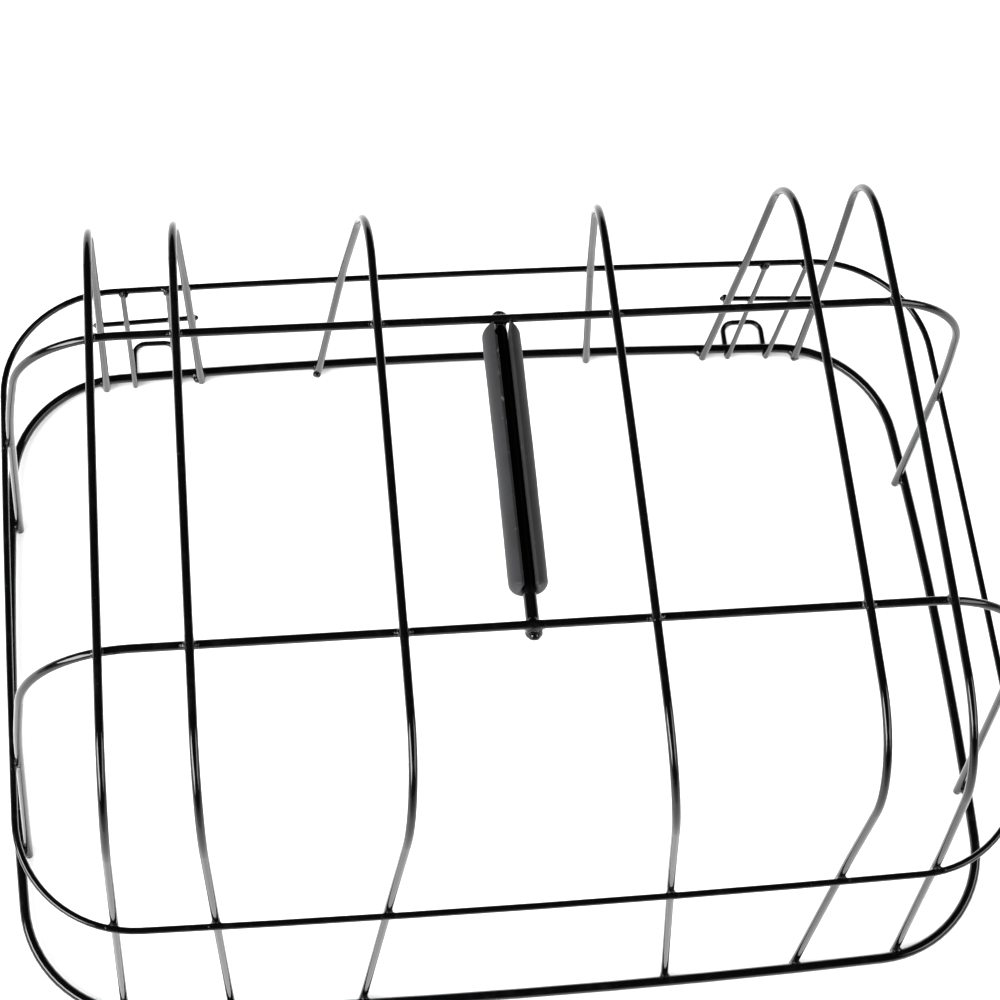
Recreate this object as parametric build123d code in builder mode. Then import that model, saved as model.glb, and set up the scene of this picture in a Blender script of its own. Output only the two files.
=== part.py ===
"""Welded wire basket lying mouth down, with a slit grip pushed onto its carrying rod.

Millimetres. +Z is up, +Y is towards the wall with the two hanging loops, +X is to the right.
The origin is on the floor, under the middle of the whole object. The sizes below are worked out
from a point under the carrying rod, midway between the front and the rear of the rim, and save()
shifts every piece by the same small step.
The basket is welded by hand: its mouth is a little out of square, and no two hoops are bent alike.
"""

import os
from math import asin, atan2, cos, pi, tan

from build123d import *

os.makedirs("parts", exist_ok=True)

# Wire diameters
hoop_wire = 3.2
rim_wire = 4.0
ring_wire = 2.6
thin_wire = 2.2
rod_wire = 4.8
weld_bite = 0.25  # how far two welded wires sink into each other

# How far the rim's and the ring's rear and front corners lie to the right of square
rear_skew = -0.6
front_skew = 3.4

# Rim around the mouth: half sizes at the middle of each side, and how far the sides bow out
rim_half_width = 194.8
rim_half_depth = 143.1
rim_side_bow = 5.6
rim_end_bow = 5.0
rim_corner = 48.6
rim_height = thin_wire + rim_wire / 2 - weld_bite

# Ring half way up the walls
ring_half_width = 187.3
ring_half_depth = 133.3
ring_side_bow = 0.8
ring_end_bow = 2.5
ring_corner = 45.0
ring_height = 91.7

# Two hoops running from side to side; the six others lie across the top of them
cross_height = 180.8
cross_spacing = 120.4
cross_foot_spacing = 143.0
cross_middle_x = 1.1
cross_corner_x = 173.6  # half the distance between the two bends of a cross hoop
cross_corner = 41.0
cross_waist_height = 115.0
cross_waist_radius = 500.0

# Six hoops running from front to back: x at the crown, x at the floor, and how far the rear and
# the front bend lie nearer the middle than the straight lower part of the leg points to
hoop_places = {
    "hoop_left_outer": (-147.5, -151.8, 6.4, 0.8),
    "hoop_left_inner": (-116.9, -110.6, 6.0, 0.9),
    "hoop_centre_left": (-44.9, -59.7, 7.3, -0.9),
    "hoop_centre_right": (41.8, 60.3, 6.6, -3.0),
    "hoop_right_inner": (116.5, 112.8, -1.8, -1.5),
    "hoop_right_outer": (146.9, 154.6, -3.8, 2.4),
}
hoop_corner = 36.0
hoop_waist_height = 107.0
hoop_waist_radius = 280.0
crown_radius = 1940.0
crown_reach = 90.0  # half the length of the arched part of a crown

# Hangers: a thin wire bent to a hairpin, two bars up the wall and a loop out under the rim.
# The numbers are the x of the bar nearer the middle, of the other one, and how far out the loop is.
hanger_places = {
    "hanger_left": (-121.3, -139.3, 158.6),
    "hanger_right": (124.2, 141.6, 155.8),
}
hanger_set_in = 0.4  # gap between the rim and the bars coming down inside it
hanger_loop_corner = 5.0
hanger_turn = 2.4
hanger_waist_radius = 150.0
hanger_top = ring_height + 1.2

# Short bar across the outside of the two hoops at each hanger
short_bar_heights = {"short_bar_left": 62.6, "short_bar_right": 58.5}
short_bar_overhang = 1.9

# Carrying rod and the grip pushed onto it
rod_rear = 65.0
rod_length = 129.0
rod_end_radius = 1.4
grip_length = 104.4
grip_diameter = 14.4
grip_slot = 4.4
grip_clearance = 0.06
grip_end_gap = 0.4
grip_end_radius = 3.0
grip_lip_height = 6.5
grip_lip_radius = 0.8
grip_relief_width = 5.8
grip_relief_length = 5.6

# How much further the longer loop reaches than the rim does on the other side
loop_reach = max(loop_y for _, _, loop_y in hanger_places.values()) + thin_wire / 2
loop_overhang = loop_reach - rim_half_depth - rim_wire / 2

# The basket stands on its hangers, on the ends of the cross hoops and on the front ends of the six
# other hoops. These run a little below the floor and are cut off flat on it. The rear ends of the six
# hoops stop level with the rim's underside.
foot_start = -3.0
rear_foot_height = rim_height - rim_wire / 2


def ring_outline(half_width, half_depth, side_bow, end_bow, corner, height):
    """Closed outline of a rounded, slightly skewed rectangle whose four sides bow outwards."""
    corner_x = half_width - side_bow
    corner_y = half_depth - end_bow
    rear_left = (rear_skew - corner_x, corner_y)
    rear_right = (rear_skew + corner_x, corner_y)
    front_left = (front_skew - corner_x, -corner_y)
    front_right = (front_skew + corner_x, -corner_y)
    middle_skew = (rear_skew + front_skew) / 2
    with BuildSketch(Plane.XY.offset(height)) as outline:
        with BuildLine():
            ThreePointArc(rear_left, (rear_skew, half_depth), rear_right)
            ThreePointArc(rear_right, (middle_skew + half_width, 0), front_right)
            ThreePointArc(front_right, (front_skew, -half_depth), front_left)
            ThreePointArc(front_left, (middle_skew - half_width, 0), rear_left)
        make_face()
        fillet(outline.vertices(), corner)
    return outline.sketch.wires()[0]


def end_of(outline, x, toward=1):
    """Y of an outline's rear side at this x, or of its front side where toward is -1."""
    section = Plane(origin=(x, 0, 0), x_dir=(0, 1, 0), z_dir=(1, 0, 0))
    return toward * max(toward * point.Y for point in outline.intersect(section))


def side_of(outline, y, toward):
    """X of an outline's right side at this y, or of its left side where toward is -1."""
    section = Plane(origin=(0, y, 0), x_dir=(1, 0, 0), z_dir=(0, 1, 0))
    return toward * max(toward * point.X for point in outline.intersect(section))


def along(start, end, height):
    """Point at this height on the straight line through two points."""
    share = (height - start.Z) / (end.Z - start.Z)
    return start + (end - start) * share


def save(piece, label):
    """Move a finished piece so the whole object is centred on the origin, and write it."""
    placed = piece.part.moved(Location((-rim_middle_x, -loop_overhang / 2, 0)))
    placed.label = label
    export_step(placed, f"parts/{label}.step")


def closed_wire(outline, diameter, label):
    """Round wire welded into a closed ring."""
    with BuildPart() as ring:
        with BuildSketch(Plane(origin=outline @ 0, z_dir=outline % 0)):
            Circle(diameter / 2)
        sweep(path=outline)
    save(ring, label)


def straight_bar(start, end, diameter, label):
    """Round bar with flat ends."""
    with BuildPart() as bar:
        with BuildSketch(Plane(origin=start, z_dir=end - start)):
            Circle(diameter / 2)
        extrude(amount=(end - start).length)
    save(bar, label)


def bent_wire(points, radii, diameter, label):
    """Round wire along a line with rounded corners, cut off flat where it reaches the floor."""
    with BuildPart() as wire:
        with BuildLine() as path:
            FilletPolyline(*points, radius=radii)
        with BuildSketch(Plane(origin=path.line @ 0, z_dir=path.line % 0)):
            Circle(diameter / 2)
        sweep()
        split(bisect_by=Plane.XY, keep=Keep.TOP)
    save(wire, label)


rim_outline = ring_outline(
    rim_half_width, rim_half_depth, rim_side_bow, rim_end_bow, rim_corner, rim_height
)
mid_outline = ring_outline(
    ring_half_width, ring_half_depth, ring_side_bow, ring_end_bow, ring_corner, ring_height
)

rim_middle_x = rim_outline.bounding_box().center().X

closed_wire(rim_outline, rim_wire, "lower_rim")
closed_wire(mid_outline, ring_wire, "mid_ring")

# The hoops' legs are welded inside the rim and inside the ring, along these outlines
leg_rim_outline = rim_outline.offset_2d(weld_bite - (rim_wire + hoop_wire) / 2)
leg_ring_outline = mid_outline.offset_2d(weld_bite - (ring_wire + hoop_wire) / 2)

# The two hoops from side to side
leg_spreads = []
for label, depthward in (("cross_hoop_rear", 1), ("cross_hoop_front", -1)):
    crown_y = depthward * cross_spacing / 2
    foot_y = depthward * cross_foot_spacing / 2
    foot = Vector(0, foot_y, 0)
    corner = Vector(0, crown_y, cross_height)
    rim_y = along(foot, corner, rim_height).Y
    ring_y = along(foot, corner, ring_height).Y
    legs = []
    for toward in (1, -1):
        at_rim = Vector(side_of(leg_rim_outline, rim_y, toward), rim_y, rim_height)
        at_ring = Vector(side_of(leg_ring_outline, ring_y, toward), ring_y, ring_height)
        leg_start = along(at_rim, at_ring, foot_start)
        leg_waist = along(at_rim, at_ring, cross_waist_height)
        leg_corner = Vector(cross_middle_x + toward * cross_corner_x, crown_y, cross_height)
        legs.append([leg_start, leg_waist, leg_corner])
        leg_spreads.append(abs(leg_waist.X - leg_corner.X))
    leg_radii = [cross_waist_radius, cross_corner]
    bent_wire(legs[0] + legs[1][::-1], leg_radii + leg_radii[::-1], hoop_wire, label)

# Where a cross hoop starts to bend down, and the height of that bend's centre
cross_lean = atan2(sum(leg_spreads) / len(leg_spreads), cross_height - cross_waist_height)
bend_x = cross_corner_x - cross_corner * tan(pi / 4 - cross_lean / 2)
bend_height = cross_height - cross_corner

# The six hoops from front to back, resting on the two cross hoops
crown_slope = crown_reach / crown_radius
crown_rise = (cross_spacing / 2) ** 2 / (2 * crown_radius)

leg_lines = {}
for label, (crown_x, foot_x, rear_set_in, front_set_in) in hoop_places.items():
    foot = Vector(foot_x, 0, 0)
    crown = Vector(crown_x, 0, cross_height)
    rim_x = along(foot, crown, rim_height).X
    ring_x = along(foot, crown, ring_height).X
    rest_radius = cross_corner + hoop_wire - weld_bite
    round_bend = asin(max(abs(crown_x - cross_middle_x) - bend_x, 0) / rest_radius)
    crown_rest = bend_height + rest_radius * cos(round_bend)
    crown_peak = crown_rest + crown_rise + crown_reach * crown_slope / 2
    legs = []
    for toward, set_in in ((1, rear_set_in), (-1, front_set_in)):
        at_rim = Vector(rim_x, end_of(leg_rim_outline, rim_x, toward), rim_height)
        at_ring = Vector(ring_x, end_of(leg_ring_outline, ring_x, toward), ring_height)
        corner_y = along(at_rim, at_ring, cross_height).Y - toward * set_in
        leg_start = along(at_rim, at_ring, rear_foot_height if toward > 0 else foot_start)
        leg_waist = along(at_rim, at_ring, hoop_waist_height)
        leg_corner = Vector(crown_x, corner_y, crown_peak - crown_slope * abs(corner_y))
        legs.append([leg_start, leg_waist, leg_corner])
        leg_lines.setdefault(label, (at_rim, at_ring))
    peak = Vector(crown_x, 0, crown_peak)
    leg_radii = [hoop_waist_radius, hoop_corner]
    radii = leg_radii + [crown_radius] + leg_radii[::-1]
    bent_wire(legs[0] + [peak] + legs[1][::-1], radii, hoop_wire, label)

# Short bars across the outside of the two hoops beside each hanger
bar_reach = (hoop_wire + thin_wire) / 2 - weld_bite
short_bar_lines = {}

for label, inner, outer in (
    ("short_bar_left", "hoop_left_inner", "hoop_left_outer"),
    ("short_bar_right", "hoop_right_inner", "hoop_right_outer"),
):
    height = short_bar_heights[label]
    near = along(*leg_lines[inner], height) + Vector(0, bar_reach, 0)
    far = along(*leg_lines[outer], height) + Vector(0, bar_reach, 0)
    short_bar_lines[label] = (near, far)
    overhang = (far - near).normalized() * short_bar_overhang
    straight_bar(near - overhang, far + overhang, thin_wire, label)

# Hangers, inside the ring and the short bar; they pass under the rim on the way out
hanger_ring_outline = mid_outline.offset_2d(weld_bite - (ring_wire + thin_wire) / 2)
hanger_floor = thin_wire / 2

for label, short_bar in (
    ("hanger_left", "short_bar_left"),
    ("hanger_right", "short_bar_right"),
):
    near, far = short_bar_lines[short_bar]
    near_x, far_x, loop_y = hanger_places[label]
    ends = []
    for bar_x in (near_x, far_x):
        at_ring = Vector(bar_x, end_of(hanger_ring_outline, bar_x), ring_height)
        turn_y = end_of(rim_outline, bar_x) - (rim_wire + thin_wire) / 2 - hanger_set_in
        short_bar_y = near.Y + (far.Y - near.Y) * (bar_x - near.X) / (far.X - near.X)
        waist = Vector(bar_x, short_bar_y - thin_wire + weld_bite, near.Z)
        top = along(waist, at_ring, hanger_top)
        turn = Vector(bar_x, turn_y, hanger_floor)
        loop = Vector(bar_x, loop_y, hanger_floor)
        ends.append([top, waist, turn, loop])
    radii = [hanger_waist_radius, hanger_turn, hanger_loop_corner]
    bent_wire(ends[0] + ends[1][::-1], radii + radii[::-1], thin_wire, label)

# Carrying rod, welded under both cross hoops
rod_height = cross_height - (hoop_wire + rod_wire) / 2 + weld_bite

with BuildPart() as handle_rod:
    with BuildSketch(Plane.XZ.offset(-rod_rear)):
        with Locations((0, rod_height)):
            Circle(rod_wire / 2)
    extrude(amount=rod_length)
    fillet(handle_rod.edges().filter_by(GeomType.CIRCLE), rod_end_radius)
save(handle_rod, "handle_rod")

# Grip: a thick tube slit along the top, pushed against the rear cross hoop
grip_rear = cross_spacing / 2 - hoop_wire / 2 - grip_end_gap
bore_radius = rod_wire / 2 + grip_clearance
grip_wall_depth = grip_diameter / 2 - bore_radius

with BuildPart() as handle_grip:
    with BuildSketch(Plane.YZ) as grip_wall:
        with Locations((grip_rear - grip_length / 2, rod_height + bore_radius)):
            Rectangle(grip_length, grip_wall_depth, align=(Align.CENTER, Align.MIN))
        fillet(grip_wall.vertices().sort_by(Axis.Y)[-2:], grip_end_radius)
    revolve(axis=Axis((0, 0, rod_height), (0, 1, 0)))
    with BuildSketch(Plane.XZ.offset(-grip_rear)) as slot:
        with Locations((0, rod_height)):
            Rectangle(grip_slot, grip_diameter, align=(Align.CENTER, Align.MIN))
        with Locations((0, rod_height + grip_lip_height)):
            Rectangle(grip_diameter, grip_diameter, align=(Align.CENTER, Align.MIN))
        lips = slot.vertices().group_by(Axis.Y)[1].sort_by(Axis.X)[1:-1]
        fillet(lips, grip_lip_radius)
    extrude(amount=grip_length, mode=Mode.SUBTRACT)
    with BuildSketch(Plane.XY.offset(rod_height - grip_diameter)):
        with Locations((0, grip_rear)):
            Rectangle(grip_relief_width, 2 * grip_relief_length)
    extrude(amount=2 * grip_diameter, mode=Mode.SUBTRACT)
save(handle_grip, "handle_grip")
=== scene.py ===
"""Looks of the wire basket: camera, studio light, black paint, weld fillets and the rubber grip."""

import math

import bmesh
import bpy
import numpy as np
from mathutils import Matrix, Vector, noise


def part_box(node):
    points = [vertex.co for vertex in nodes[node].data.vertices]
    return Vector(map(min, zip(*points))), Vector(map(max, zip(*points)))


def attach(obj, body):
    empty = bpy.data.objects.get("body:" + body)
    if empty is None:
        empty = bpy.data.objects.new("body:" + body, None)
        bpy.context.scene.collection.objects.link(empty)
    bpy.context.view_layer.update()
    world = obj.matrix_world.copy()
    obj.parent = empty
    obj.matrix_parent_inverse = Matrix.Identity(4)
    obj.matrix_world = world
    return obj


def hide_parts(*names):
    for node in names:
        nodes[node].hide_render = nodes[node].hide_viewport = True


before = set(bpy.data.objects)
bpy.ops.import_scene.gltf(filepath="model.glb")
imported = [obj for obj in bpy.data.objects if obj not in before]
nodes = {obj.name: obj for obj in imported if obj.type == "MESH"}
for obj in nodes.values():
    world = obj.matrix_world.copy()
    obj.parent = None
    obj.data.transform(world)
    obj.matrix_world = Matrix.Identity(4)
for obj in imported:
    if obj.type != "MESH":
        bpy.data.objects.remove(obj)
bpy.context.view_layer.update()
MM = 0.001

# Wire radii, by node name.
RIM_RADIUS = 2.0 * MM
RING_RADIUS = 1.3 * MM
HOOP_RADIUS = 1.6 * MM
THIN_RADIUS = 1.1 * MM
ROD_RADIUS = 2.4 * MM
HOOPS = [
    "hoop_left_outer", "hoop_left_inner", "hoop_centre_left",
    "hoop_centre_right", "hoop_right_inner", "hoop_right_outer",
]
WIRE_RADIUS = {"lower_rim": RIM_RADIUS, "mid_ring": RING_RADIUS, "handle_rod": ROD_RADIUS}
WIRE_RADIUS |= dict.fromkeys(["cross_hoop_rear", "cross_hoop_front", *HOOPS], HOOP_RADIUS)
for side in ("left", "right"):
    WIRE_RADIUS |= {"hanger_" + side: THIN_RADIUS, "short_bar_" + side: THIN_RADIUS}

# Colours of the paint, the rubber and the table.
PAINT_BLACK, PAINT_DUSTY = (0.0016, 0.0016, 0.0018), (0.0046, 0.0045, 0.0044)
PAINT_RUBBED = (0.045, 0.044, 0.043)
RUBBER_DARK, RUBBER_LIGHT = (0.0140, 0.0142, 0.0154), (0.0215, 0.0218, 0.0236)
RUBBER_DRAGGED = (0.036, 0.0355, 0.037)
RUBBER_SCUFFED = (0.20, 0.195, 0.19)
TABLE_GREY, TABLE_WHITE = (0.90, 0.90, 0.905), (0.92, 0.92, 0.92)

# How runs of wire are read, and where wires count as touching.
SHORTEST_SIDE = 0.1 * MM  # a shorter side of a polygon doesn't show which way the wire runs
SAME_RUN = 0.5 * MM  # of runs closer together than this, one is kept
TOUCHING_GAP = 0.3 * MM
WELD_SPACING = 9.0 * MM  # least distance between two welds of one pair of wires
WELD_SURROUNDINGS = 12.0 * MM  # how far from a weld its two wires are looked at

# Welds. A fillet grows with the thinner wire; the rod's welds are the lumpy ones.
FILLET_PER_RADIUS, FILLET_LESS = 1.6, 0.8 * MM
FILLET_SPREAD = 0.12
LUMPS = 0.10 * MM
LUMPS_PER_RADIAN = 3.1
ROD_FILLET, ROD_LUMPS = 1.6 * MM, 0.35 * MM
BEAD_LEVEL = 5
BEAD_SINK = 0.07 * MM  # how far a bead's skin lies inside the bare wire beyond the fillet
FLOOR_CLEARANCE = 0.05 * MM

# Section of the grip, measured from the rod's centre line. The slot is open upwards, each lip
# runs from CREASE on the outside to LIP_EDGE in the slot, and its end closes on LOBE_MIDDLE.
GRIP_OUTER = 7.2 * MM
GRIP_BORE = 2.46 * MM
HALF_SLOT = 2.2 * MM
CREASE = Vector((3.15 * MM, 6.45 * MM))
LIP_EDGE = Vector((2.2 * MM, 5.95 * MM))
LOBE_MIDDLE = Vector((3.0 * MM, 5.35 * MM))
SECTION_STEPS = 64
SLOT_WALL_STEPS = 14
LOBE_STEPS = 10
SPINE_SHARE = 0.34  # how far out from the bore the rest of the ends closes
GRIP_ROWS = 120
ROUNDING_ANGLES = (90, 78, 66, 54, 42, 30, 20, 10, 0)
SHARP_ANGLE = 38  # edges of the finished grip that are sharper than this look sharp

# Wear of the grip: none up to WEAR_START from the axis, and in full WEAR_DEPTH further out.
WEAR_START, WEAR_DEPTH = 3.4 * MM, 2.6 * MM
WEAR, WAVE_HEIGHT, RIPPLE_HEIGHT = 0.22 * MM, 0.20 * MM, 0.04 * MM

# Relief cut through the grip's floor at its rear end, with a block taller than the grip.
RELIEF_HALF_WIDTH, RELIEF_LENGTH, RELIEF_CORNER = 2.9 * MM, 5.6 * MM, 0.9 * MM
RELIEF_BOTTOM, RELIEF_HEIGHT = 0.16, 0.04
PAST_REAR = 2 * MM

# Camera and studio, in metres and radians. The softboxes look at a place AIM_HEIGHT up.
CAMERA_PLACE = (-0.101614, -0.376374, 0.929369)
CAMERA_HEADING, CAMERA_PITCH, CAMERA_ROLL = -0.255075, 1.113337, 0.176355
CAMERA_LENS = 85.989
AIM_HEIGHT = 0.1
SOFTBOX_DISTANCE, SOFTBOX_WIDTH, SOFTBOX_HEIGHT = 1.6, 1.35, 0.75
FLOOR_RADIUS = 1.3
TABLE_LIGHT_RADIUS, TABLE_LIGHT_HEIGHT, TABLE_LIGHT_RADIANCE = 1.5, 2.0, 2.6
WALL_RADIANCE, GROUND_RADIANCE, SKY_RADIANCE = 0.85, 1.25, 0.015


# ---------------------------------------------------------------- materials
class Shader:
    """A node material with a few short ways to add and join nodes."""

    def __init__(self, name):
        self.material = bpy.data.materials.new(name)
        self.material.use_nodes = True
        self.tree = self.material.node_tree
        self.tree.nodes.clear()
        self.output = self.add("ShaderNodeOutputMaterial")
        self.surface = self.add("ShaderNodeBsdfPrincipled")
        self.join(self.surface.outputs["BSDF"], self.output.inputs["Surface"])
        self.place = self.add("ShaderNodeTexCoord").outputs["Object"]

    def add(self, kind, **settings):
        node = self.tree.nodes.new(kind)
        for key, value in settings.items():
            setattr(node, key, value)
        return node

    def join(self, source, target):
        self.tree.links.new(source, target)

    def noise(self, scale, detail=3.0, rough=0.5, stretch=None):
        """Noise over the object; scale is in cycles per metre."""
        texture = self.add("ShaderNodeTexNoise")
        texture.inputs["Scale"].default_value = scale
        texture.inputs["Detail"].default_value = detail
        texture.inputs["Roughness"].default_value = rough
        if stretch:
            mapping = self.add("ShaderNodeMapping")
            mapping.inputs["Scale"].default_value = stretch
            self.join(self.place, mapping.inputs["Vector"])
            self.join(mapping.outputs["Vector"], texture.inputs["Vector"])
        else:
            self.join(self.place, texture.inputs["Vector"])
        return texture.outputs["Fac"]

    def remap(self, source, low, high, to_low=0.0, to_high=1.0):
        """A soft step from to_low to to_high while the source goes from low to high."""
        node = self.add("ShaderNodeMapRange", interpolation_type="SMOOTHSTEP")
        node.inputs["From Min"].default_value = low
        node.inputs["From Max"].default_value = high
        node.inputs["To Min"].default_value = to_low
        node.inputs["To Max"].default_value = to_high
        self.join(source, node.inputs["Value"])
        return node.outputs["Result"]

    def math(self, operation, first, second):
        """The result of an operation on two numbers or sockets."""
        node = self.add("ShaderNodeMath", operation=operation)
        for socket, value in zip(node.inputs, (first, second)):
            if isinstance(value, (int, float)):
                socket.default_value = value
            else:
                self.join(value, socket)
        return node.outputs["Value"]

    def mix(self, factor, first, second):
        """The first colour where the factor is 0 and the second where it is 1."""
        node = self.add("ShaderNodeMix", data_type="RGBA")
        self.join(factor, node.inputs["Factor"])
        for socket, value in ((node.inputs[6], first), (node.inputs[7], second)):
            if isinstance(value, tuple):
                socket.default_value = (*value, 1.0)
            else:
                self.join(value, socket)
        return node.outputs[2]

    def bump(self, height, distance, strength, under=None):
        """A relief that is distance metres deep, on top of the one given as under."""
        node = self.add("ShaderNodeBump")
        node.inputs["Distance"].default_value = distance
        node.inputs["Strength"].default_value = strength
        self.join(height, node.inputs["Height"])
        if under:
            self.join(under, node.inputs["Normal"])
        return node.outputs["Normal"]

    def axis(self, letter):
        """The place along X, Y or Z, in metres."""
        node = self.add("ShaderNodeSeparateXYZ")
        self.join(self.place, node.inputs["Vector"])
        return node.outputs[letter]


def black_paint():
    """Glossy black powder coat: orange peel, uneven gloss, thin dust and a few rubbed specks."""
    s = Shader("black_powder_coat")
    cloud = s.noise(28.0, 4.0, 0.55)
    dust = s.remap(s.noise(190.0, 5.0, 0.62), 0.5, 0.74)
    specks = s.remap(s.noise(1250.0, 2.0, 0.5), 0.71, 0.78)
    rubbed = s.math("MULTIPLY", specks, s.remap(cloud, 0.42, 0.62))
    base = s.mix(dust, PAINT_BLACK, PAINT_DUSTY)
    s.join(s.mix(rubbed, base, PAINT_RUBBED), s.surface.inputs["Base Color"])
    gloss = s.remap(cloud, 0.3, 0.7, 0.06, 0.12)
    gloss = s.math("ADD", gloss, s.math("MULTIPLY", dust, 0.10))
    gloss = s.math("ADD", gloss, s.math("MULTIPLY", rubbed, 0.25))
    s.join(gloss, s.surface.inputs["Roughness"])
    s.surface.inputs["IOR"].default_value = 1.42
    peel = s.bump(s.noise(620.0, 2.0, 0.45), 0.02 * MM, 0.7)
    fine = s.bump(s.noise(2600.0, 2.0, 0.5), 0.004 * MM, 0.5, under=peel)
    s.join(fine, s.surface.inputs["Normal"])
    return s.material


def charcoal_rubber(axis_x, axis_height):
    """Matte charcoal rubber: fine grain, drag marks along the length, pale scuffs on the lips."""
    s = Shader("charcoal_rubber")
    blotch = s.noise(60.0, 4.0, 0.55)
    drag = s.noise(900.0, 3.0, 0.6, stretch=(1.0, 0.045, 1.0))
    grain = s.noise(3400.0, 3.0, 0.6)
    side = s.math("ABSOLUTE", s.math("SUBTRACT", s.axis("X"), axis_x), 0.0)
    near_slot = s.math("SUBTRACT", 1.0, s.remap(side, 3.0 * MM, 4.6 * MM))
    high = s.remap(s.axis("Z"), axis_height + 4.6 * MM, axis_height + 6.0 * MM)
    lip = s.math("MULTIPLY", near_slot, high)
    scuff = s.remap(s.noise(420.0, 5.0, 0.7, stretch=(1.0, 0.35, 1.0)), 0.59, 0.71)
    scuff = s.math("MULTIPLY", scuff, lip)
    base = s.mix(s.remap(blotch, 0.3, 0.7), RUBBER_DARK, RUBBER_LIGHT)
    base = s.mix(s.remap(drag, 0.52, 0.75, 0.0, 0.45), base, RUBBER_DRAGGED)
    s.join(s.mix(scuff, base, RUBBER_SCUFFED), s.surface.inputs["Base Color"])
    rough = s.remap(blotch, 0.25, 0.75, 0.52, 0.66)
    rough = s.math("ADD", rough, s.remap(grain, 0.3, 0.7, -0.05, 0.07))
    rough = s.math("ADD", rough, s.math("MULTIPLY", scuff, 0.2))
    s.join(rough, s.surface.inputs["Roughness"])
    s.surface.inputs["IOR"].default_value = 1.5
    s.surface.inputs["Specular IOR Level"].default_value = 0.24
    s.surface.inputs["Sheen Weight"].default_value = 0.05
    s.surface.inputs["Sheen Roughness"].default_value = 0.5
    coarse = s.bump(drag, 0.05 * MM, 0.6)
    fine = s.bump(grain, 0.03 * MM, 0.8, under=coarse)
    worn = s.bump(scuff, 0.08 * MM, 0.8, under=fine)
    s.join(worn, s.surface.inputs["Normal"])
    return s.material


# ---------------------------------------------------------------- objects
def add_object(name, data):
    """An object for a mesh, a light or a camera, linked to the scene."""
    item = bpy.data.objects.new(name, data)
    bpy.context.scene.collection.objects.link(item)
    return item


def shade_smooth(mesh):
    mesh.polygons.foreach_set("use_smooth", [True] * len(mesh.polygons))


def mesh_object(name, points, faces, material):
    """A smooth-shaded mesh object from points in metres."""
    mesh = bpy.data.meshes.new(name)
    mesh.from_pydata([tuple(p) for p in points], [], faces)
    mesh.update()
    shade_smooth(mesh)
    mesh.materials.append(material)
    return add_object(name, mesh)


# ---------------------------------------------------------------- welds
def read(source, key, kind, width=1):
    """One attribute of every item of a mesh collection, as an array."""
    values = np.empty(len(source) * width, kind)
    source.foreach_get(key, values)
    return values.reshape(-1, width) if width > 1 else values


def wire_data(name):
    """A wire's radius, the straight runs of its centre line and its flat ends.

    Every side of a smooth polygon that runs along the wire, moved inwards by the wire's
    radius, lies on the centre line.
    """
    mesh = nodes[name].data
    radius = WIRE_RADIUS[name]
    points = read(mesh.vertices, "co", float, 3)[read(mesh.loops, "vertex_index", int)]
    normals = read(mesh.corner_normals, "vector", float, 3)
    first = read(mesh.polygons, "loop_start", int)
    total = read(mesh.polygons, "loop_total", int)
    after = np.arange(len(points)) + 1
    after[first + total - 1] = first
    start = points - radius * normals
    step = start[after] - start
    length = np.linalg.norm(step, axis=1) + 1e-9
    tilt = np.abs((step * normals).sum(1)) + np.abs((step * normals[after]).sum(1))
    smooth = np.repeat(read(mesh.polygons, "use_smooth", bool), total)
    along = smooth & (length > SHORTEST_SIDE) & (tilt < 0.1 * length)
    runs = np.stack([start[along], start[after][along]], axis=1)
    # Neighbouring polygons give the same run in opposite directions, so all are turned one way.
    order = runs @ np.array([0.31, 0.52, 0.79])
    backwards = order[:, 0] > order[:, 1]
    runs[backwards] = runs[backwards][:, ::-1]
    picked = np.unique(np.round(runs / SAME_RUN).astype(int), axis=0, return_index=True)[1]
    ends = [
        (np.array(polygon.center), np.array(polygon.normal))
        for polygon in mesh.polygons
        if not polygon.use_smooth
    ]
    return {"radius": radius, "runs": runs[picked], "ends": ends}


def nearest_on_runs(points, runs):
    """For each point its distance to a centre line, and the nearest place on that line."""
    start = runs[:, 0]
    step = runs[:, 1] - start
    away = points[:, None] - start
    share = np.clip((away * step).sum(2) / (step * step).sum(1), 0.0, 1.0)
    gap = np.linalg.norm(away - share[..., None] * step, axis=2)
    best = gap.argmin(1)
    row = np.arange(len(points))
    return gap[row, best], start[best] + share[row, best][:, None] * step[best]


def contacts(first, second):
    """Pairs of centre line places, one pair for each spot where two wires touch."""
    steps = []
    for start, end in first["runs"]:
        count = int(np.linalg.norm(end - start) / MM) + 2
        steps.append(start + (end - start) * np.linspace(0, 1, count)[:, None])
    steps = np.concatenate(steps)
    gap, _ = nearest_on_runs(steps, second["runs"])
    touching = gap < first["radius"] + second["radius"] + TOUCHING_GAP
    found = []
    for index in np.flatnonzero(touching)[np.argsort(gap[touching])]:
        if all(np.linalg.norm(steps[index] - on_a) > WELD_SPACING for on_a, _ in found):
            # Going to and fro between the centre lines settles on their nearest places.
            on_a = steps[index][None]
            for _ in range(8):
                on_b = nearest_on_runs(on_a, second["runs"])[1]
                on_a = nearest_on_runs(on_b, first["runs"])[1]
            found.append((on_a[0], on_b[0]))
    return found


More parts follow.
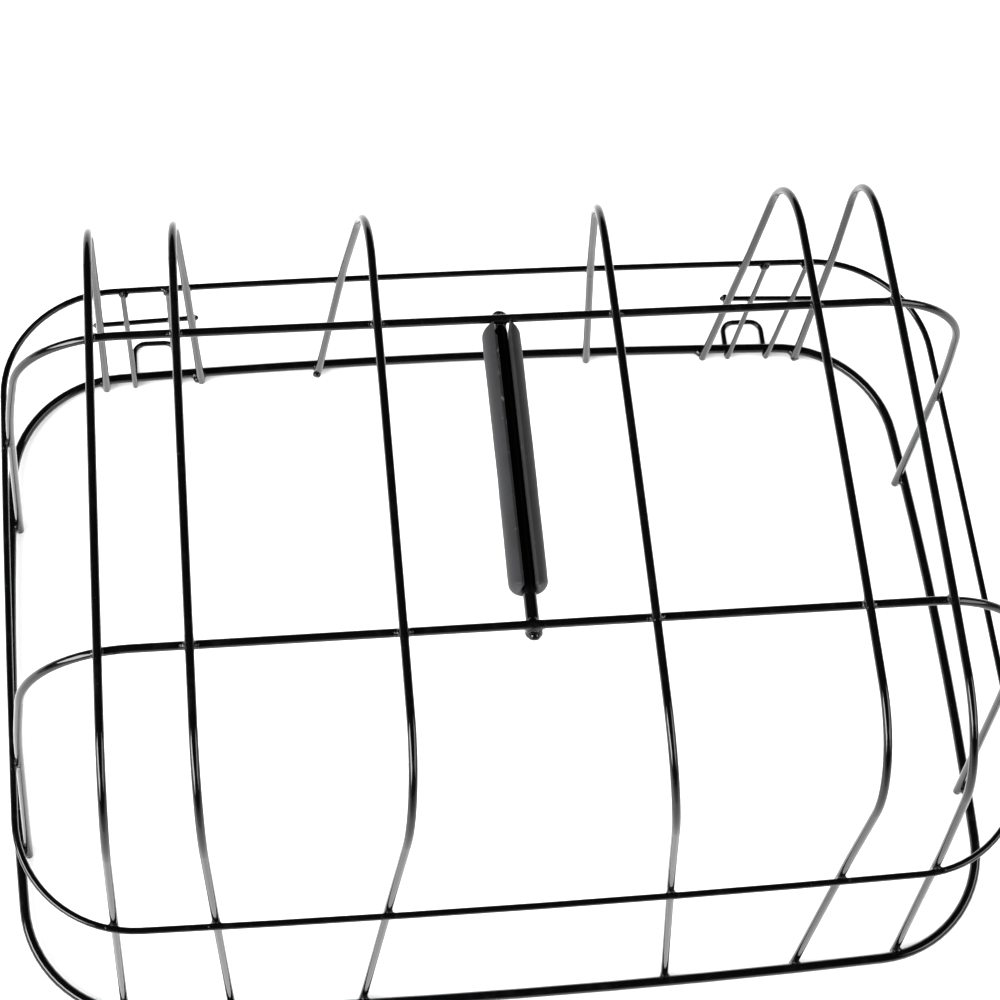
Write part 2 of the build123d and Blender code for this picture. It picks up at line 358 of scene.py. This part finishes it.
def near_part(wire, middle):
    """The runs and the flat end of a wire that are close to a weld."""
    start = wire["runs"][:, 0]
    step = wire["runs"][:, 1] - start
    share = np.clip(((middle - start) * step).sum(1) / (step * step).sum(1), 0.0, 1.0)
    away = np.linalg.norm(start + share[:, None] * step - middle, axis=1)
    heading = step[away.argmin()] / np.linalg.norm(step[away.argmin()])
    ends = [
        (centre, normal)
        for centre, normal in wire["ends"]
        if np.linalg.norm(centre - middle) < WELD_SURROUNDINGS and abs(normal @ heading) > 0.9
    ]
    runs = wire["runs"][away < WELD_SURROUNDINGS]
    return {"radius": wire["radius"], "runs": runs, "ends": ends[:1]}


def wire_field(points, wire):
    """Signed distance from points to a wire, cut off at its flat end."""
    field = nearest_on_runs(points, wire["runs"])[0] - wire["radius"]
    for centre, normal in wire["ends"]:
        field = np.maximum(field, (points - centre) @ normal)
    return field


def sphere_mesh(level):
    """Directions and triangles of a finely divided icosahedron."""
    ball = bmesh.new()
    bmesh.ops.create_icosphere(ball, subdivisions=level, radius=1.0)
    directions = np.array([vertex.co[:] for vertex in ball.verts])
    faces = [tuple(vertex.index for vertex in face.verts) for face in ball.faces]
    ball.free()
    return directions, faces


DIRECTIONS, BALL_FACES = sphere_mesh(BEAD_LEVEL)


def weld_bead(first, second, on_a, on_b, fillet, lumps, seed):
    """A smooth fillet of molten metal and paint in the corners where two wires touch.

    The two wires' distance fields are blended, and the blended surface is found along rays
    from the middle of the contact: first in coarse steps, then by halving.
    """
    share = first["radius"] / (first["radius"] + second["radius"])
    middle = on_a + (on_b - on_a) * share
    first, second = near_part(first, middle), near_part(second, middle)
    reach = max(first["radius"], second["radius"]) + fillet + 0.5 * MM
    shift = Vector((seed, 0, 0))
    uneven = [noise.noise(Vector(d) * LUMPS_PER_RADIAN + shift) for d in DIRECTIONS]
    uneven = np.array(uneven)

    def field(distance):
        points = middle + DIRECTIONS * distance[:, None]
        a = wire_field(points, first)
        b = wire_field(points, second)
        blend = np.maximum(fillet - np.abs(a - b), 0.0) / fillet
        raised = np.clip(3.0 * blend, 0.0, 1.0)
        joined = np.minimum(a, b) - blend * blend * (0.25 * fillet + lumps * uneven)
        joined = joined + BEAD_SINK * (1.0 - raised)
        joined = np.maximum(joined, FLOOR_CLEARANCE - points[:, 2])
        return np.maximum(joined, distance - reach)

    coarse_steps, halvings = 14, 7
    far = reach * 1.001
    inner = np.zeros(len(DIRECTIONS))
    outer = np.full(len(DIRECTIONS), far)
    open_way = np.ones(len(DIRECTIONS), bool)
    for step in range(1, coarse_steps + 1):
        distance = np.full(len(DIRECTIONS), far * step / coarse_steps)
        outside = (field(distance) > 0.0) & open_way
        outer[outside] = distance[outside]
        inner[open_way & ~outside] = distance[open_way & ~outside]
        open_way &= ~outside
    for _ in range(halvings):
        half = (inner + outer) / 2
        outside = field(half) > 0.0
        outer = np.where(outside, half, outer)
        inner = np.where(outside, inner, half)
    return middle + DIRECTIONS * ((inner + outer) / 2)[:, None]


def weld_group(first, second):
    """The name of the piece that holds the welds between two wires."""
    pair = {first, second}
    for wire in ("handle_rod", "cross_hoop_rear", "cross_hoop_front"):
        if wire in pair:
            return "welds_" + wire
    for side in ("left", "right"):
        if pair & {"hanger_" + side, "short_bar_" + side}:
            return "welds_hanger_" + side
    return "welds_mid_ring" if "mid_ring" in pair else "welds_lower_rim"


def make_welds(material):
    """One piece for each group of welds, with a bead wherever two wires touch."""
    wires = {name: wire_data(name) for name in WIRE_RADIUS}
    names = sorted(wires)
    groups = {}
    seed = 0
    for index, first in enumerate(names):
        for second in names[index + 1:]:
            pair = wires[first], wires[second]
            fillet = FILLET_PER_RADIUS * min(WIRE_RADIUS[first], WIRE_RADIUS[second]) - FILLET_LESS
            lumps = LUMPS
            if "handle_rod" in (first, second):
                fillet, lumps = ROD_FILLET, ROD_LUMPS
            for on_a, on_b in contacts(*pair):
                seed += 1
                chance = noise.noise(Vector((seed * 7.31, 0.4, 0.9)))
                size = fillet * (1.0 + FILLET_SPREAD * chance)
                points = weld_bead(*pair, on_a, on_b, size, lumps, seed * 3.7)
                groups.setdefault(weld_group(first, second), []).append(points)
    for name, beads in sorted(groups.items()):
        faces = []
        for number in range(len(beads)):
            shift = number * len(DIRECTIONS)
            faces += [tuple(corner + shift for corner in face) for face in BALL_FACES]
        piece = mesh_object(name, np.concatenate(beads), faces, material)
        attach(piece, "basket")


# ---------------------------------------------------------------- grip
def mirrored(points):
    """The points on the other side of the slot."""
    return [Vector((-p.x, p.y)) for p in points]


def arc(radius, start, end, steps):
    """Points on a circle about the rod's centre line, from one angle to another."""
    angles = (start + (end - start) * i / steps for i in range(steps + 1))
    return [Vector((radius * math.cos(a), radius * math.sin(a))) for a in angles]


def grip_section():
    """The grip's thick C, and for each point the place its end is rounded in to."""
    start = math.atan2(CREASE.y, CREASE.x)
    outside = arc(GRIP_OUTER, start, -math.pi - start, SECTION_STEPS)
    bore_start = math.acos(HALF_SLOT / GRIP_BORE)
    slot_foot = Vector((HALF_SLOT, GRIP_BORE * math.sin(bore_start)))
    slot_wall = [LIP_EDGE.lerp(slot_foot, i / SLOT_WALL_STEPS) for i in range(SLOT_WALL_STEPS)]
    bore_steps = SECTION_STEPS - 2 * SLOT_WALL_STEPS
    bore = arc(GRIP_BORE, bore_start, -math.pi - bore_start, bore_steps)
    inside = slot_wall + bore + mirrored(reversed(slot_wall))
    spine = [i.lerp(o, SPINE_SHARE) for i, o in zip(inside, outside)]
    for index in range(LOBE_STEPS):
        blend = 1 - index / LOBE_STEPS
        spine[index] = spine[index].lerp(LOBE_MIDDLE, blend)
        spine[-1 - index] = spine[-1 - index].lerp(mirrored([LOBE_MIDDLE])[0], blend)
    lip = [CREASE.lerp(LIP_EDGE, t) for t in (0.2, 0.4, 0.6, 0.8)]
    section = outside + mirrored(lip) + inside[::-1] + lip[::-1]
    target = spine + [spine[-1]] * len(lip) + spine[::-1] + [spine[0]] * len(lip)
    return section, target


def grip_rows(front, rear):
    """Rows of (place in the section, Y) from one end of the grip to the other."""
    section, target = grip_section()
    gap = [(p - t).length for p, t in zip(section, target)]

    def rounded(angle, end, inwards):
        return [
            (t + (p - t) * math.cos(angle), end + inwards * g * (1 - math.sin(angle)))
            for p, t, g in zip(section, target, gap)
        ]

    angles = [math.radians(a) for a in ROUNDING_ANGLES]
    rows = [rounded(angle, front, 1) for angle in angles]
    for row in range(1, GRIP_ROWS):
        share = row / GRIP_ROWS
        rows.append([(p, (front + g) * (1 - share) + (rear - g) * share)
                     for p, g in zip(section, gap)])
    return rows + [rounded(angle, rear, -1) for angle in reversed(angles)]


def weathered(spot, y):
    """Shrink a place of the grip a little and unevenly, but leave the bore as it is."""
    radius = spot.length
    wave = noise.noise(Vector((spot.x * 60, y * 38, spot.y * 60)))
    ripple = noise.noise(Vector((spot.x * 260 + 9, y * 150, spot.y * 260)))
    depth = min(1.0, max(0.0, (radius - WEAR_START) / WEAR_DEPTH))
    growth = (-WEAR + WAVE_HEIGHT * wave + RIPPLE_HEIGHT * ripple) * depth
    return spot * (1 + growth / radius)


def relief_cutter(axis_x, rear):
    """A tall block with rounded corners at its front."""
    outline = [Vector((side * RELIEF_HALF_WIDTH, PAST_REAR)) for side in (1, -1)]
    for side, start in ((-1, math.pi), (1, 1.5 * math.pi)):
        corner_x = side * (RELIEF_HALF_WIDTH - RELIEF_CORNER)
        centre = Vector((corner_x, RELIEF_CORNER - RELIEF_LENGTH))
        for step in range(7):
            turn = start + step * math.pi / 12
            outline.append(centre + RELIEF_CORNER * Vector((math.cos(turn), math.sin(turn))))
    shape = bmesh.new()
    bottom = [shape.verts.new((axis_x + p.x, rear + p.y, RELIEF_BOTTOM)) for p in outline]
    face = shape.faces.new(bottom)
    risen = bmesh.ops.extrude_face_region(shape, geom=[face])["geom"]
    top = [item for item in risen if isinstance(item, bmesh.types.BMVert)]
    bmesh.ops.translate(shape, verts=top, vec=(0, 0, RELIEF_HEIGHT))
    bmesh.ops.recalc_face_normals(shape, faces=shape.faces)
    mesh = bpy.data.meshes.new("relief_cutter")
    shape.to_mesh(mesh)
    shape.free()
    return add_object("relief_cutter", mesh)


def cut_relief(piece, axis_x, rear):
    """Cut the slot wider and right through the floor at the rear end, leaving two lobes."""
    cutter = relief_cutter(axis_x, rear)
    modifier = piece.modifiers.new("relief", "BOOLEAN")
    modifier.operation = "DIFFERENCE"
    modifier.solver = "MANIFOLD"
    modifier.object = cutter
    graph = bpy.context.evaluated_depsgraph_get()
    cut = bpy.data.meshes.new_from_object(piece.evaluated_get(graph))
    piece.modifiers.clear()
    piece.data = cut
    bpy.data.objects.remove(cutter)
    shade_smooth(cut)
    cut.set_sharp_from_angle(angle=math.radians(SHARP_ANGLE))


def make_grip(material, axis_x, axis_height):
    """The split rubber sleeve, with full-round ends and a floor cut back at the rear."""
    low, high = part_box("handle_grip")
    rows = grip_rows(low.y, high.y)
    points = []
    for row in rows:
        for spot, y in row:
            place = weathered(spot, y)
            points.append((axis_x + place.x, y, axis_height + place.y))
    width = len(rows[0])
    faces = []
    for base in range(0, (len(rows) - 1) * width, width):
        for index in range(width):
            after = (index + 1) % width
            faces.append((base + index, base + after, base + width + after, base + width + index))
    piece = mesh_object("rubber_grip", points, faces, material)
    body = bmesh.new()
    body.from_mesh(piece.data)
    bmesh.ops.remove_doubles(body, verts=body.verts, dist=0.004 * MM)
    bmesh.ops.recalc_face_normals(body, faces=body.faces)
    body.to_mesh(piece.data)
    body.free()
    shade_smooth(piece.data)
    cut_relief(piece, axis_x, high.y)
    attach(piece, "grip")
    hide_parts("handle_grip")


# ---------------------------------------------------------------- stage
def make_camera():
    """The camera: above and a little left of the front, looking down."""
    data = bpy.data.cameras.new("camera")
    data.lens = CAMERA_LENS
    data.sensor_width = 36.0
    camera = add_object("camera", data)
    turn = (
        Matrix.Rotation(CAMERA_HEADING, 4, "Z")
        @ Matrix.Rotation(math.pi / 2 - CAMERA_PITCH, 4, "X")
        @ Matrix.Rotation(CAMERA_ROLL, 4, "Z")
    )
    camera.matrix_world = Matrix.Translation(CAMERA_PLACE) @ turn
    bpy.context.scene.camera = camera


def make_floor():
    """A wide white table top."""
    s = Shader("white_table")
    tone = s.remap(s.noise(5.0, 2.0), 0.3, 0.7)
    s.join(s.mix(tone, TABLE_GREY, TABLE_WHITE), s.surface.inputs["Base Color"])
    s.surface.inputs["Roughness"].default_value = 0.75
    s.surface.inputs["Specular IOR Level"].default_value = 0.2
    disc = bmesh.new()
    bmesh.ops.create_circle(disc, cap_ends=True, segments=96, radius=FLOOR_RADIUS)
    mesh = bpy.data.meshes.new("floor")
    disc.to_mesh(mesh)
    disc.free()
    mesh.materials.append(s.material)
    floor = add_object("floor", mesh)
    return floor


def make_softbox(name, azimuth, elevation, radiance):
    """A rectangular area light that looks at the object; azimuth 0 is in front, along -Y."""
    data = bpy.data.lights.new(name, "AREA")
    data.shape = "RECTANGLE"
    data.size = SOFTBOX_WIDTH
    data.size_y = SOFTBOX_HEIGHT
    data.energy = radiance * SOFTBOX_WIDTH * SOFTBOX_HEIGHT * math.pi
    light = add_object(name, data)
    a, e = math.radians(azimuth), math.radians(elevation)
    heading = Vector((math.sin(a) * math.cos(e), -math.cos(a) * math.cos(e), math.sin(e)))
    light.location = Vector((0, 0, AIM_HEIGHT)) + heading * SOFTBOX_DISTANCE
    light.rotation_euler = heading.to_track_quat("Z", "Y").to_euler()


def make_table_light(floor):
    """A wide overhead light for the white table alone, so that the table burns out to white."""
    data = bpy.data.lights.new("table_light", "AREA")
    data.shape = "DISK"
    data.size = 2 * TABLE_LIGHT_RADIUS
    data.energy = TABLE_LIGHT_RADIANCE * math.pi * math.pi * TABLE_LIGHT_RADIUS ** 2
    light = add_object("table_light", data)
    light.location = (0, 0, TABLE_LIGHT_HEIGHT)
    light.visible_glossy = False
    lit = bpy.data.collections.new("lit_by_table_light")
    lit.objects.link(floor)
    light.light_linking.receiver_collection = lit
    light.light_linking.blocker_collection = lit


def make_world():
    """A dark studio with a pale wall low down in front, and a pale ground beyond the table."""
    world = bpy.data.worlds.new("studio")
    bpy.context.scene.world = world
    world.use_nodes = True
    tree = world.node_tree
    background = tree.nodes["Background"]
    place = tree.nodes.new("ShaderNodeTexCoord")
    split = tree.nodes.new("ShaderNodeSeparateXYZ")
    tree.links.new(place.outputs["Generated"], split.inputs["Vector"])

    def fade(axis, low, high, to_low, to_high):
        node = tree.nodes.new("ShaderNodeMapRange")
        node.interpolation_type = "SMOOTHSTEP"
        values = (("From Min", low), ("From Max", high), ("To Min", to_low), ("To Max", to_high))
        for key, value in values:
            node.inputs[key].default_value = value
        tree.links.new(split.outputs[axis], node.inputs["Value"])
        return node.outputs["Result"]

    def join(operation, first, second):
        node = tree.nodes.new("ShaderNodeMath")
        node.operation = operation
        tree.links.new(first, node.inputs[0])
        tree.links.new(second, node.inputs[1])
        return node.outputs["Value"]

    low_down = fade("Z", 0.10, 0.30, WALL_RADIANCE, 0.0)
    in_front = fade("Y", -0.75, -0.25, 1.0, 0.0)
    wall = join("MULTIPLY", low_down, in_front)
    ground = fade("Z", -0.005, 0.05, GROUND_RADIANCE, SKY_RADIANCE)
    tree.links.new(join("MAXIMUM", wall, ground), background.inputs["Color"])
    background.inputs["Strength"].default_value = 1.0


make_camera()
make_table_light(make_floor())
make_world()
make_softbox("softbox_left", azimuth=-67, elevation=32, radiance=18.0)
make_softbox("softbox_right", azimuth=70, elevation=34, radiance=6.0)
bpy.context.scene.view_settings.view_transform = "Standard"
bpy.context.scene.view_settings.look = "None"

paint = black_paint()
for name in WIRE_RADIUS:
    nodes[name].material_slots[0].material = paint
make_welds(paint)
rod_low, rod_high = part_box("handle_rod")
rod_x, rod_height = (rod_low.x + rod_high.x) / 2, (rod_low.z + rod_high.z) / 2
make_grip(charcoal_rubber(rod_x, rod_height), rod_x, rod_height)
